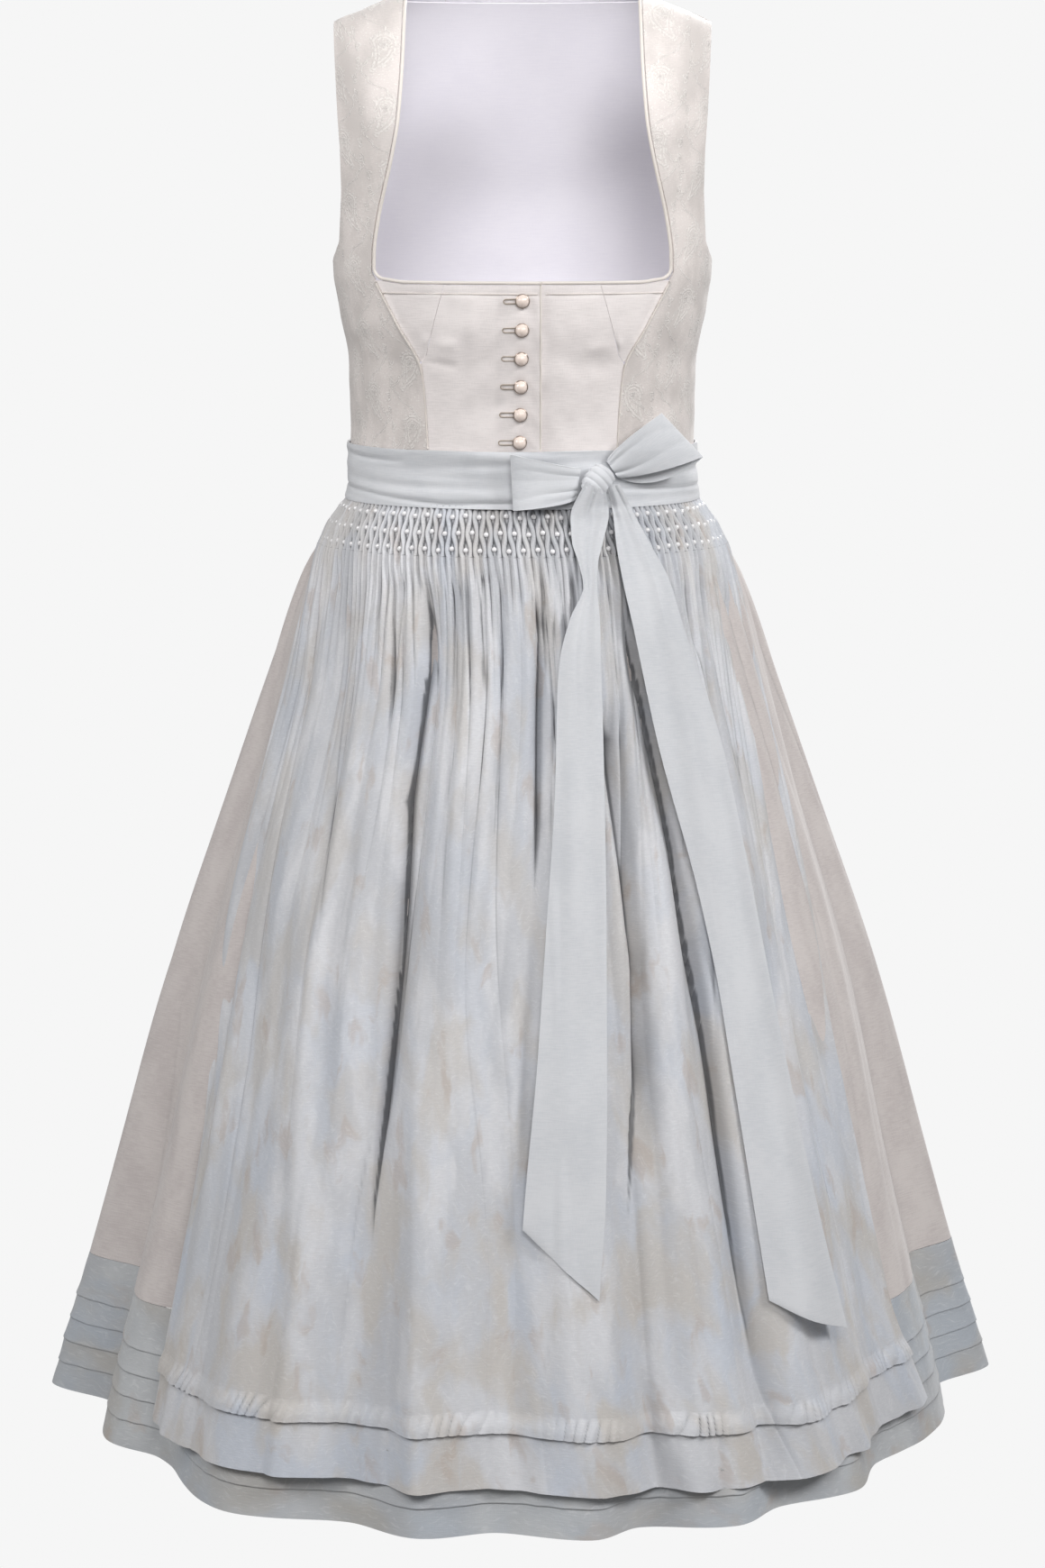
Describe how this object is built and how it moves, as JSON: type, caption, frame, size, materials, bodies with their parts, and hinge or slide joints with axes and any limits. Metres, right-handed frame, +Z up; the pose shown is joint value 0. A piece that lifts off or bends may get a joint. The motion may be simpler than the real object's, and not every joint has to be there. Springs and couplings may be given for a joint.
{
  "type": "dirndl",
  "caption": "Worn, hollow pinafore dress with fitted bodice, square neckline, smocked apron tied in a bow, and full gathered skirt with a tucked hem band.",
  "frame": {"origin": "on the shoulders' level, midway between the neck ends of the two shoulder seams", "axes": "+Z up, the front faces -Y, +X to the viewer's right seen from the front"},
  "size_m": [0.7413, 0.7105, 1.0725],
  "materials": {
    "silk": "plain silk, soft sheen",
    "jacquard": "tone-on-tone jacquard",
    "lining": "smooth lining",
    "piping": "satin piping",
    "pearl": "pearl",
    "band": "light satin, pale grey blue",
    "apron": "cloudy silk, pale grey blue",
    "skirt": "plain cloth, pale rose beige",
    "hem_band": "plain cloth, grey blue"
  },
  "bodies": {
    "root": {"centre_front_left": "silk", "centre_front_right": "silk", "cup_left": "silk", "cup_right": "silk", "side_front_left": "jacquard", "side_front_right": "jacquard", "side_back_left": "jacquard", "side_back_right": "jacquard", "centre_back": "jacquard", "back_lining": "lining", "neckline_piping_left": "piping", "neckline_piping_right": "piping", "princess_piping_left": "piping", "princess_piping_right": "piping", "button_1": "pearl", "button_2": "pearl", "button_3": "pearl", "button_4": "pearl", "button_5": "pearl", "button_6": "pearl", "skirt": "skirt", "skirt_hem_band": "hem_band", "apron_smocking": "apron", "apron_panel": "apron", "apron_tuck": "apron", "apron_flounce": "apron", "apron_waistband": "band", "bow_tail_left": "band", "bow_tail_right": "band", "bow_loop_left": "band", "bow_loop_right": "band", "bow_knot": "band"}
  },
  "joints": []
}
